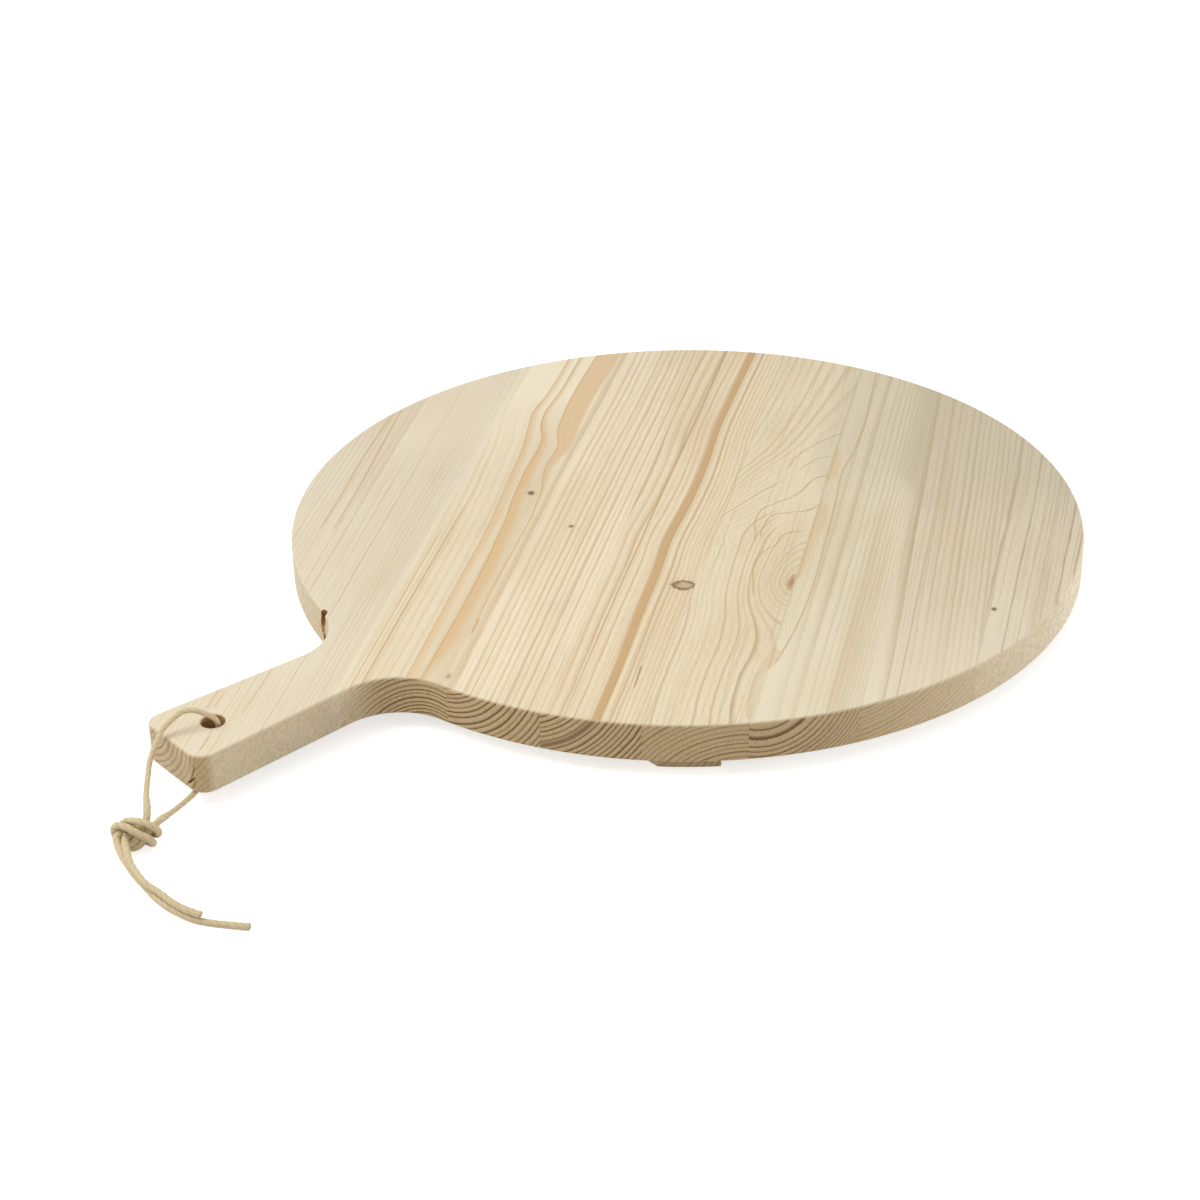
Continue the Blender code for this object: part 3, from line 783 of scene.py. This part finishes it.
# the stave that runs into the handle: still wood, with a pocket of old bark at the rim
stave("stave_2", 2, spruce(
    "spruce_still", pith=(-228, 40), ring=2.6, bend=[(-220, 4), (220, -4)], seed=23, lines=0.75,
    uneven=2.0, faint=0.15, sawn_lines=0.4, pale=srgb(226, 214, 188), line=srgb(196, 175, 140),
    tone_and_painted_light=[([(-300, 0.15), (-200, 0.1), (-150, 0), (20, 0), (60, 0.22), (110, 0.27), (220, 0.3)],
             PALE_TONE_AND_PAINTED_LIGHT)],
    streaks=[
        (-187, [(-292, -2), (-286, 0.6), (-276, 0.5), (-270, -2)], 1, 0.5, srgb(196, 170, 130), 0.5),
        ([(-300, -179), (-150, -176)], [(-262, -2), (-250, 0.5), (-215, 0.7), (-190, -2)], 1, 0.7,
         srgb(202, 178, 140), 0.45),
        (-133, [(-220, 5), (80, 6.5), (220, 7)], -1, 2.0, PALE_TONE_AND_PAINTED_LIGHT, 0.25),
    ],
), gouges=[
    (rim_place(257.2, 28.5), (0, 0, 250), (3.0, 3.0, 5.5)),
    (rim_place(256.7, 22), (0, 0, 255), (2.4, 2.2, 5.5)),
    (rim_place(257.1, 16), (0, 0, 255), (2.2, 1.6, 7.0)),
])

# orange bands that swerve together round a branch
stave("stave_3", 3, spruce(
    "spruce_banded", pith=(-95, -42), ring=2.4,
    bend=[(-195, 2), (-35, 1), (61, -4), (109, -9), (190, -6)],
    seed=31, lines=0.6, sawn_lines=1.3, pale=srgb(234, 220, 189), line=srgb(207, 183, 142),
    tone_and_painted_light=[([(-220, 0), (20, 0), (60, 0.23), (100, 0.4), (140, 0.75), (220, 0.75)], PALE_TONE_AND_PAINTED_LIGHT)],
    streaks=[
        ([(-195, -106.8), (-99, -107.2), (-35, -107.4), (13, -110), (61, -112.3), (93, -116.2),
          (109, -118), (141, -115.7), (190, -114.4)],
         [(-195, 5), (60, 4), (112, 3), (190, 2.5)], 1, 3.0, srgb(222, 192, 148), 0.6),
        ([(-195, -98.7), (-35, -99.2), (-3, -101.9), (29, -103.5), (77, -104.2), (93, -108.6),
          (109, -110.7), (141, -108.7), (190, -107.8)],
         [(-200, 2), (-165, 7), (0, 6.5), (60, 4.5), (120, 1.5), (190, 1.5)], 1, 3.5,
         srgb(222, 190, 144), 0.8),
        ([(-200, -85), (-106, -86.8), (6, -87.8), (38, -92.6), (70, -92.5), (86, -96.5), (102, -98.4),
          (190, -98.2)],
         [(-200, -1), (-165, -0.5), (-135, 0.7), (0, 1.5), (50, 5), (90, 13), (190, 16)], 1, 2.0,
         srgb(224, 190, 144), 0.65),
        (-85.2, [(-162, -2), (-153, 0.7), (-140, 0.5), (-132, -2)], 1, 0.5, srgb(182, 150, 106), 0.7),
        ([(-215, -132.3), (-20, -132.6)], [(-215, 0.9), (-60, 0.7), (0, -2)], 1, 0.7,
         srgb(206, 180, 140), 0.55),
        ([(-215, -127.5), (60, -127)], [(-215, 1.2), (-40, 1), (40, -2)], 1, 0.8,
         srgb(206, 178, 136), 0.6),
    ],
    knots=[(-92.9, 6.3, 2.2, 2.6, srgb(128, 108, 72), srgb(150, 130, 92)),
           (-85.2, -198.4, 1.3, 2.8, srgb(192, 166, 126), srgb(204, 182, 144))],
))

# even stripes and a pin knot
stave("stave_4", 4, spruce(
    "spruce_striped", pith=(-88, 36), ring=2.9, seed=43, lines=0.95, sawn_lines=1.3,
    pale=srgb(243, 228, 198), line=srgb(208, 183, 142),
    knots=[(-60.6, -28.8, 1.3, 1.6, srgb(140, 120, 88), srgb(168, 146, 110))],
))

# one broad brown streak from end to end, an oval knot and a fine crack near the front, painted as a dark
# line: painted shade in place of a cut
STREAK_PATH = [(-215, 0.5), (-178, 0.8), (-114, 0.1), (-66, 0), (-34, -1), (-2, 0.7), (30, 2), (62, 2),
               (110, 0.3), (142, 0.9), (206, 2.7)]
stave("stave_5", 5, spruce(
    "spruce_resinous", pith=(-48, 48), ring=2.6, bend=STREAK_PATH, seed=53, lines=0.9, sawn_lines=1.3,
    pale=srgb(240, 223, 190), line=srgb(206, 176, 131), broad=[(57.6, 60.4, 0.7, 0.7)],
    streaks=[
        (STREAK_PATH, [(-215, 4.6), (-10, 5.4), (98, 4.2), (206, 4.8)], -1, 1.4,
         srgb(208, 174, 126), 0.95),
        ([(-215, -18), (-10, -17.6), (98, -16.2), (206, -15.6)],
         [(-215, 0.2), (-20, 1.0), (206, 1.8)], -1, 0.7, srgb(205, 176, 134), 0.75),
        ([(place, shift + 5.4) for place, shift in STREAK_PATH], [(-215, 0.9), (206, 0.9)], -1, 0.6,
         srgb(206, 180, 138), 0.6),
        # painted shade: the fine crack is a dark line, with no cut in the wood
        ([(-200, 10.4), (-160, 9.5)], [(-200, -1.5), (-188, 0.5), (-172, 0.4), (-163, -1.5)], 1, 0.4,
         srgb(104, 84, 56), 0.95),
    ],
    knots=[(14.8, -83.2, 6.6, 5.2, srgb(204, 180, 146), srgb(140, 118, 86))],
))

# the flame figure about a branch at the joint, in long drawn lines
FLAME = srgb(192, 164, 120)
stave("stave_6", 6, spruce(
    "spruce_flamed", pith=(80, -19), sawn_pith=(70, -47, 0), ring=2.6,
    dip=[(-220, 9), (-180, 7), (-132, 8), (-110, 6), (-85, 2), (-60, 0), (-10, 2), (20, 17), (30, 22),
         (60, 33), (86, 40), (122, 44), (200, 48)],
    seed=61, lines=1.0, uneven=2.0, faint=0.15, ruffle=0.9, sawn_lines=0.9,
    pale=srgb(239, 225, 193), line=srgb(200, 174, 131),
    swells=[(73, -66, 17, 32, 13), (28, -18, 7, 16, 5)], calm=[(64, 42, 20, 78)],
    streaks=[
        ([(-24, 44), (-17, 43), (-3, 40.6), (11.4, 42.3), (20, 48.7), (34.3, 59.4), (48.6, 63.7),
          (57, 67.5), (60, 72)],
         [(-32, -2), (-22, 0.5), (10, 0.6), (22, 0.9), (54, 0.8), (60, 3), (63, -2)], 1, 0.6,
         FLAME, 0.55),
        ([(-22, 46.6), (-4.3, 46.6), (5.7, 49.4), (10, 56.6), (14.3, 66.6), (25.7, 74.4)],
         [(-30, -2), (-20, 0.5), (4, 0.7), (9, 2.2), (15, 2.2), (20, 0.7), (26, 0.6)], 1, 0.7,
         FLAME, 0.5),
        ([(-84, 53), (-70, 50.9), (-55.7, 48.7), (-38.6, 50.9), (-28.6, 56.6), (-18.6, 58),
          (-12.9, 62.3), (-10.2, 70)],
         [(-95, -2), (-84, 0.6), (-35, 0.6), (-16, 0.7), (-11, 3), (-8, -2)], 1, 0.6, FLAME, 0.5),
        ([(60, 48), (67, 48.7), (83, 52), (101, 61), (111, 68), (118.6, 73.7)],
         [(58, -2), (70, 1), (118, 1.4)], 1, 1.0, FLAME, 0.35),
        ([(60, 54), (70, 58), (81.4, 65), (86, 73.7)], [(58, -2), (68, 1), (80, 1.2), (86, 3)], 1, 1.0,
         FLAME, 0.35),
        # painted shade: a grey band towards the back of the stave
        (76, [(20, -8), (70, 14), (220, 14)], -1, 7, PAINTED_SHADE_GREY, 0.2),
    ],
    knots=[(72.2, -69, 2.4, 8.5, srgb(184, 150, 104), srgb(204, 176, 136))],
))

# lines that grow closer to the right, and the tips of the branch's resin at the left joint
stave("stave_7", 7, spruce(
    "spruce_straight", pith=(70, 34), sawn_pith=(80, 26, 8), seed=71, lines=0.62, late_wood=0.5,
    faint=0.7, sawn_lines=1.1,
    ring=[(0, -4.4), (20, 0), (30, 2.2), (36, 3.6), (42, 5.3), (47, 7.1), (52, 9.2), (58, 12.6),
          (66, 18.2), (76, 25.8)],
    pale=srgb(234, 222, 192), line=srgb(200, 179, 140), broad=[(48, 60, 5, 0.12)],
    # painted light: the top paler towards the front; painted shade: greyer towards the back
    tone_and_painted_light=[([(-220, 0.4), (-150, 0.3), (-60, 0), (220, 0)], PALE_TONE_AND_PAINTED_LIGHT),
            ([(-220, 0), (30, 0), (90, 0.2), (220, 0.2)], PAINTED_SHADE_GREY)],
    streaks=[
        (74,
         [(-165, -3), (-156, 3), (-142, 3.5), (-130, -3), (-72, -3), (-60, 2), (-40, 4), (-8, 5),
          (0, 7.5), (22, 6), (32, -3), (50, -3), (60, 6), (90, 3.5), (100, -3)], 1, 1.5,
         srgb(226, 196, 150), 0.5),
        ([(-154, 76.5), (-130, 80), (-110, 82), (-80, 83.5), (-10, 83), (20, 82.5), (70, 81), (90, 83.5),
          (190, 83.5)],
         [(-160, -2), (-150, 0.7), (190, 0.7)], 1, 0.6, srgb(206, 182, 140), 0.6),
        (109, [(-220, 12), (-60, 12), (20, 2), (60, -8)], 1, 8, srgb(206, 178, 138), 0.25),
        # painted shade: a grey band towards the back of the stave
        (129, [(20, -8), (70, 14), (220, 18)], -1, 8, PAINTED_SHADE_GREY, 0.35),
    ],
))

# fine grey wood, and the last stave with wide years and a pin knot; on both, the top is painted lighter
# towards the front and painted a shaded grey towards the back
stave("stave_8", 8, spruce(
    "spruce_fine", pith=(112, 60), ring=2.6, bend=[(-220, 6.6), (220, -6.6)], seed=83, lines=0.85,
    sawn_lines=0.8, pale=srgb(229, 215, 186), line=srgb(193, 172, 134),
    # painted light towards the front, painted shade towards the back
    tone_and_painted_light=[([(-220, 0.6), (-150, 0.45), (-70, 0.08), (-20, 0), (220, 0)], PALE_TONE_AND_PAINTED_LIGHT),
            ([(-220, 0), (0, 0), (80, 0.3), (220, 0.3)], PAINTED_SHADE_GREY)],
    streaks=[
        ([(-170, 135.5), (-105, 134.5), (-5, 131), (70, 127.5), (160, 127)],
         [(-220, 0.9), (220, 0.7)], 1, 0.8, srgb(198, 176, 138), 0.35),
        ([(-170, 141.6), (-105, 141), (-20, 140), (45, 139), (160, 136)],
         [(-220, 0.7), (220, 0.5)], 1, 0.6, srgb(198, 176, 138), 0.45),
    ],
))
stave("stave_9", 9, spruce(
    "spruce_wide", pith=(120, -30), ring=7.5, late_wood=0.22,
    bend=[(-150, -5), (-30, -1.5), (60, 1.5), (150, 1)], seed=97, lines=1.05, sawn_lines=0.15,
    pale=srgb(233, 220, 192), line=srgb(180, 158, 120),
    # painted light towards the front, painted shade towards the back
    tone_and_painted_light=[([(-220, 0.5), (-75, 0.15), (-20, 0), (220, 0)], PALE_TONE_AND_PAINTED_LIGHT),
            ([(-220, 0), (0, 0), (75, 0.35), (220, 0.35)], PAINTED_SHADE_GREY)],
    knots=[(182.3, -77.6, 1.6, 2.0, srgb(130, 112, 80), srgb(160, 140, 106))],
))
bpy.data.objects.remove(blank)


# Two battens of the same softwood keep the board off the table and stiffen it. Their ends follow the
# rim, and each is bored and countersunk for four screws.
BATTEN_WIDTH = 24 * MM
BATTEN_HEIGHT = 9 * MM
BATTEN_SPREAD = 145 * MM  # from the disc's centre to the middle of each
BATTEN_REACH = 215.5 * MM  # radius of their ends about the disc's centre
BATTEN_EDGE = 0.8 * MM
BATTEN_EDGE_STEPS = 3
BATTEN_SHARP = math.radians(30)
BATTEN_SMOOTH = math.radians(32)
BATTEN_PALE = srgb(226, 203, 166)
BATTEN_LINE = srgb(190, 156, 112)
SCREW_HEAD = 7 * MM
SCREW_SHANK = 3.5 * MM
SCREW_SINK = 0.6 * MM  # of the head below the batten's face
SINK_SIDES = 48
SINK_MARGIN = 0.9 * MM  # of the countersink round the head
SINK_DEPTH = 1.2 * MM  # of the countersink past the head's cone
SCREWED_STAVES = {"batten_handle_side": (2, 3, 4, 5), "batten_far_side": (5, 6, 7, 8)}


def centre_of(node):
    """The middle of a node of the frame."""
    low_corner, high_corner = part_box(node)
    return (Vector(low_corner) + Vector(high_corner)) / 2


def batten(node, y, material):
    """A bar with its ends sawn to the rim's curve, its edges broken and its screw holes sunk."""
    deselect()
    bpy.ops.mesh.primitive_cube_add(size=1, location=(0, y, BATTEN_HEIGHT / 2),
                                    scale=(2 * BATTEN_REACH, BATTEN_WIDTH, BATTEN_HEIGHT))
    bar = bpy.context.object
    bar.name = "wood_" + node
    bpy.ops.object.transform_apply()
    bpy.ops.mesh.primitive_cylinder_add(vertices=2 * RIM_STEPS, radius=BATTEN_REACH, depth=1,
                                        location=DISC_CENTRE)
    cut(bar, bpy.context.object, "INTERSECT")
    apply_modifier(bar, "BEVEL", width=BATTEN_EDGE, segments=BATTEN_EDGE_STEPS, limit_method="ANGLE",
                   angle_limit=BATTEN_SHARP)
    for number in SCREWED_STAVES[node]:
        place = centre_of(node + "_screw_%d" % number)
        sink = SCREW_HEAD / 2 - SCREW_SHANK / 2 + SINK_DEPTH
        bpy.ops.mesh.primitive_cone_add(
            vertices=SINK_SIDES, radius1=SCREW_HEAD / 2 + SINK_MARGIN, radius2=SCREW_SHANK / 2,
            depth=sink, location=(place.x, place.y, sink / 2))
        cut(bar, bpy.context.object)
    bpy.ops.object.shade_smooth_by_angle(angle=BATTEN_SMOOTH)
    apply_modifier(bar, "WEIGHTED_NORMAL", keep_sharp=True)
    bar.data.materials.append(material)
    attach(bar, "board")
    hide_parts(node)


for node, side in (("batten_handle_side", -1), ("batten_far_side", 1)):
    y = DISC_CENTRE.y + side * BATTEN_SPREAD
    batten(node, y, spruce(
        "spruce_" + node, turn=-math.pi / 2, middle=Vector((0, y, BATTEN_HEIGHT / 2)),
        pith=(26, -16 * side), ring=2.3, seed=110 + side, lines=0.7, pale=BATTEN_PALE, line=BATTEN_LINE,
    ))


# The screws are zinc-plated wood screws with a countersunk head and a cross recess, one for each
# stave that a batten crosses.
SCREW_LENGTH = 22.7 * MM
SCREW_POINT = 4 * MM
POINT_SHARE = 0.08  # of the shank's width, at the very tip
HEAD_RIM = 0.5 * MM
HEAD_SIDES = 40
HEAD_EDGE = 0.15 * MM
HEAD_SHARP = math.radians(40)
HEAD_SMOOTH = math.radians(30)
RECESS = Vector((3.8, 1.0, 1.7)) * MM
RECESS_TAPER = 0.55  # of its mouth, at its floor
ZINC_BRIGHT = srgb(196, 196, 190)
ZINC_DULL = srgb(160, 158, 148)


def wood_screw():
    """A screw at the origin with its head down: a disc is drawn up into a cone, a shank and a point."""
    deselect()
    bpy.ops.mesh.primitive_circle_add(vertices=HEAD_SIDES, radius=SCREW_HEAD / 2, fill_type="NGON")
    screw = bpy.context.object
    edit(screw)
    select_mesh()
    cone = SCREW_HEAD / 2 - SCREW_SHANK / 2
    shank = SCREW_LENGTH - HEAD_RIM - cone - SCREW_POINT
    stages = ((HEAD_RIM, 1), (cone, SCREW_SHANK / SCREW_HEAD), (shank, 1), (SCREW_POINT, POINT_SHARE))
    for height, narrow in stages:
        bpy.ops.mesh.extrude_region_move(TRANSFORM_OT_translate={"value": (0, 0, height)})
        bpy.ops.transform.resize(value=(narrow, narrow, 1), center_override=(0, 0, 0))
    done(drawn=True)
    apply_modifier(screw, "BEVEL", width=HEAD_EDGE, segments=2, limit_method="ANGLE",
                   angle_limit=HEAD_SHARP)
    for turned in (False, True):
        bpy.ops.mesh.primitive_cube_add(size=1, scale=RECESS.yxz if turned else RECESS)
        slot_tool = bpy.context.object
        bpy.ops.object.transform_apply()
        edit(slot_tool)
        bpy.ops.mesh.select_all(action="DESELECT")
        mesh = bmesh.from_edit_mesh(slot_tool.data)
        for corner in mesh.verts:
            corner.select_set(corner.co.z > 0)
        mesh.select_flush_mode()
        bpy.ops.transform.resize(value=(RECESS_TAPER, RECESS_TAPER, 1), center_override=(0, 0, 0))
        done()
        cut(screw, slot_tool)
    return screw


def zinc():
    """Bright zinc with a faint yellow cast and the cloudy bloom of old plating."""
    made, tree, shader = new_material("zinc_plating", 0.34)
    shader.inputs["Metallic"].default_value = 1.0
    place = tree.nodes.new("ShaderNodeTexCoord").outputs["Object"]
    bloom = noise(place, (2 * MM, 2 * MM, 2 * MM), 5, detail=4.0)
    tone = blend(bloom.step(0.3, 0.7), ZINC_BRIGHT, ZINC_DULL)
    tree.links.new((bloom * 0.3 + 0.2).socket, shader.inputs["Roughness"])
    surface(shader, tone, bloom, 0.02 * MM)
    return made


screw_shape = wood_screw()
plated = zinc()
for batten_node, numbers in SCREWED_STAVES.items():
    for number in numbers:
        node = batten_node + "_screw_%d" % number
        screw = screw_shape.copy()
        screw.data = screw_shape.data.copy()
        screw.name = "zinc_" + node
        bpy.context.scene.collection.objects.link(screw)
        place = centre_of(node)
        screw.data.transform(Matrix.Translation((place.x, place.y, SCREW_SINK)))
        select_only(screw)
        bpy.ops.object.shade_smooth_by_angle(angle=HEAD_SMOOTH)
        screw.data.materials.append(plated)
        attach(screw, "board")
        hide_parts(node)
bpy.data.objects.remove(screw_shape)


# The floor is plain white paper that keeps the soft shadow of the board. It is clear from below, so
# that the underside can be looked at too.
FLOOR_SIZE = 14
FLOOR_PAPER = (0.8, 0.8, 0.8, 1)
FLOOR_GLOW = 0.62
WHITE = (1, 1, 1, 1)


def seen_directly(tree):
    """1 for what the camera sees, also by way of metal or glass, and 0 for what only gives light."""
    rays = tree.nodes.new("ShaderNodeLightPath")
    seen = Field(rays.outputs["Is Camera Ray"])
    for kind in ("Is Glossy Ray", "Is Transmission Ray"):
        seen = seen.math("MAXIMUM", Field(rays.outputs[kind]))
    return seen


deselect()
bpy.ops.mesh.primitive_plane_add(size=FLOOR_SIZE)
floor = bpy.context.object
floor.name = "floor"
paper, tree, shader = new_material("floor_paper", 0.9)
shader.inputs["Base Color"].default_value = FLOOR_PAPER
shader.inputs["Specular IOR Level"].default_value = 0.0
shader.inputs["Emission Color"].default_value = WHITE
tree.links.new((seen_directly(tree) * FLOOR_GLOW).socket, shader.inputs["Emission Strength"])
below = tree.nodes.new("ShaderNodeNewGeometry")
clear = tree.nodes.new("ShaderNodeBsdfTransparent")
either = tree.nodes.new("ShaderNodeMixShader")
tree.links.new(below.outputs["Backfacing"], either.inputs[0])
tree.links.new(shader.outputs[0], either.inputs[1])
tree.links.new(clear.outputs[0], either.inputs[2])
tree.links.new(either.outputs[0], tree.nodes["Material Output"].inputs["Surface"])
floor.data.materials.append(paper)


# Soft studio light: an even white room, a near lamp over the handle's left side, and a low one behind
# on the right for the rim there.
ROOM_LIGHT = 0.62
KEY_PLACE = Vector((-0.3, -0.6, 0.8))
KEY_SIZE = (0.6, 0.6)
KEY_POWER = 4.8
FILL_PLACE = Vector((0.9, 0.9, 0.17))
FILL_SIZE = (0.8, 0.3)
FILL_POWER = 4.5
world = bpy.data.worlds.new("studio")
world.use_nodes = True
tree = world.node_tree
room = tree.nodes["Background"]
room.inputs["Color"].default_value = WHITE
brightness = seen_directly(tree) * (1 - ROOM_LIGHT) + ROOM_LIGHT
tree.links.new(brightness.socket, room.inputs["Strength"])
bpy.context.scene.world = world
for place, size, power in ((KEY_PLACE, KEY_SIZE, KEY_POWER), (FILL_PLACE, FILL_SIZE, FILL_POWER)):
    bpy.ops.object.light_add(type="AREA", location=place)
    lamp = bpy.context.object
    lamp.data.shape = "RECTANGLE"
    lamp.data.size, lamp.data.size_y = size
    lamp.data.energy = power
    lamp.rotation_mode = "QUATERNION"
    lamp.rotation_quaternion = place.to_track_quat("Z", "Y")
